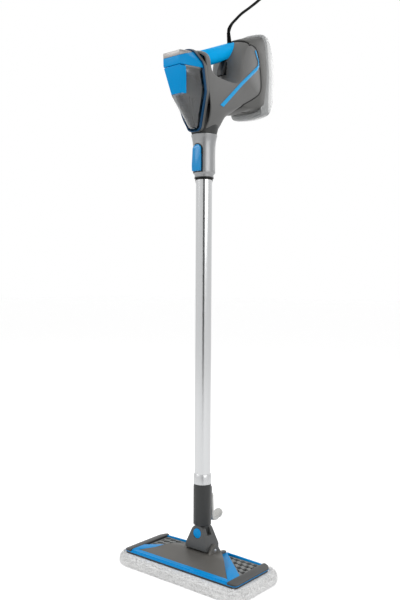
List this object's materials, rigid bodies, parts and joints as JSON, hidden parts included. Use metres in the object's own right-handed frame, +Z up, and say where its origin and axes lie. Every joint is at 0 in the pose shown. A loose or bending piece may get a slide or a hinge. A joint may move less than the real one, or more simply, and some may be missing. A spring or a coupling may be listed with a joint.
{
  "type": "steam mop",
  "caption": "Upright steam mop with a swivel floor head, an aluminium wand and a lift-off hand steamer with its own water tank and tool caddy.",
  "frame": {"origin": "on the floor, on the axis of the wand, under the mop pad's bottom face", "axes": "+Z up along the wand, +X to the mop's right, -Y to its front, where the tank is"},
  "size_m": [0.338, 0.3887, 1.3208],
  "materials": {
    "pad_fabric": "fluffy microfibre pile",
    "black_plastic": "fine moulded texture",
    "charcoal_plastic": "satin moulded",
    "grey_plastic": "satin moulded",
    "light_grey_plastic": "satin moulded",
    "silver_plastic": "silver paint under clear coat",
    "blue_plastic": "gloss moulded",
    "dark_blue_plastic": "gloss moulded, translucent",
    "accent_plastic": "gloss moulded",
    "clear_plastic": "clear moulded",
    "pole_aluminium": "satin anodised",
    "cast_aluminium": "as cast",
    "steel": "zinc plated",
    "brass": "turned",
    "circuit_board": "solder mask",
    "black_rubber": "matte",
    "cord_rubber": "satin PVC"
  },
  "bodies": {
    "foot": {"mop_pad": "pad_fabric", "hook_strips": "black_plastic", "base_plate": "charcoal_plastic", "floor_frame": "blue_plastic", "floor_cover": "grey_plastic", "left_grille": "grey_plastic", "right_grille": "grey_plastic", "left_end_cap": "charcoal_plastic", "right_end_cap": "charcoal_plastic", "tilt_pins": "steel", "steam_outlet": "black_plastic", "base_screws": "steel"},
    "neck": {"yoke": "charcoal_plastic", "roll_pin": "steel", "pin_caps": "blue_plastic", "neck_hose": "black_rubber"},
    "wand": {"lower_sleeve": "charcoal_plastic", "sleeve_tongue": "grey_plastic", "pole_ferrule": "silver_plastic", "pole": "pole_aluminium", "wand_hose": "black_rubber", "release_collar": "silver_plastic", "button_surround": "charcoal_plastic", "collar_ring": "black_plastic", "steam_spigot": "black_plastic", "cord_hank": "cord_rubber", "hank_tie": "black_rubber", "plug": "cord_rubber"},
    "hook": {"cord_hook": "light_grey_plastic"},
    "button": {"release_button": "blue_plastic"},
    "hand_steamer": {"right_shell": "charcoal_plastic", "left_shell": "charcoal_plastic", "rear_shell": "grey_plastic", "seam_gasket": "black_rubber", "right_accent": "accent_plastic", "left_accent": "accent_plastic", "grip": "blue_plastic", "head_bezel": "charcoal_plastic", "tank_trim": "dark_blue_plastic", "neck_socket": "charcoal_plastic", "chassis": "light_grey_plastic", "boiler": "cast_aluminium", "pump": "grey_plastic", "control_board": "circuit_board", "trigger_switch": "black_plastic", "trigger_pin": "steel", "steam_nozzle": "brass", "water_inlet": "black_rubber", "cord_gland": "cord_rubber", "power_cord": "cord_rubber", "shell_screws": "steel"},
    "trigger_lever": {"trigger": "black_plastic"},
    "tank": {"water_tank": "clear_plastic", "tank_band": "blue_plastic", "top_plate": "silver_plastic", "pickup_tube": "black_plastic"},
    "flap": {"fill_flap": "blue_plastic"},
    "caddy": {"accessory_caddy": "clear_plastic", "brush_tool": "light_grey_plastic", "nozzle_tool": "grey_plastic"}
  },
  "joints": [
    {"name": "neck_tilt", "type": "hinge", "parent": "foot", "child": "neck", "pos_m": [0, 0, 0.046], "axis": [1, 0, 0], "range_deg": [-60, 8]},
    {"name": "neck_roll", "type": "hinge", "parent": "neck", "child": "wand", "pos_m": [0, 0, 0.079], "axis": [0, 1, 0], "range_deg": [-40, 40]},
    {"name": "hook_swivel", "type": "hinge", "parent": "wand", "child": "hook", "pos_m": [0, 0.024, 0.15], "axis": [0, 1, 0], "range_deg": [0, 180]},
    {"name": "button_press", "type": "slide", "parent": "wand", "child": "button", "axis": [0, 1, 0], "range_m": [0, 0.004], "stiffness_N_per_m": 800},
    {"name": "handheld_lift", "type": "slide", "parent": "wand", "child": "hand_steamer", "axis": [0, 0, 1], "range_m": [0, 0.07]},
    {"name": "trigger_pull", "type": "hinge", "parent": "hand_steamer", "child": "trigger_lever", "pos_m": [0, 0.066, 1.089], "axis": [1, 0, 0], "range_deg": [0, 7], "stiffness_Nm_per_rad": 0.6},
    {"name": "tank_slide", "type": "slide", "parent": "hand_steamer", "child": "tank", "axis": [0, -0.982, -0.1891], "range_m": [0, 0.06]},
    {"name": "flap_open", "type": "hinge", "parent": "tank", "child": "flap", "pos_m": [0, -0.1009, 1.0376], "axis": [1, 0, 0], "range_deg": [-100, 0]},
    {"name": "caddy_slide", "type": "slide", "parent": "hand_steamer", "child": "caddy", "axis": [0, 1, 0], "range_m": [0, 0.05]}
  ]
}
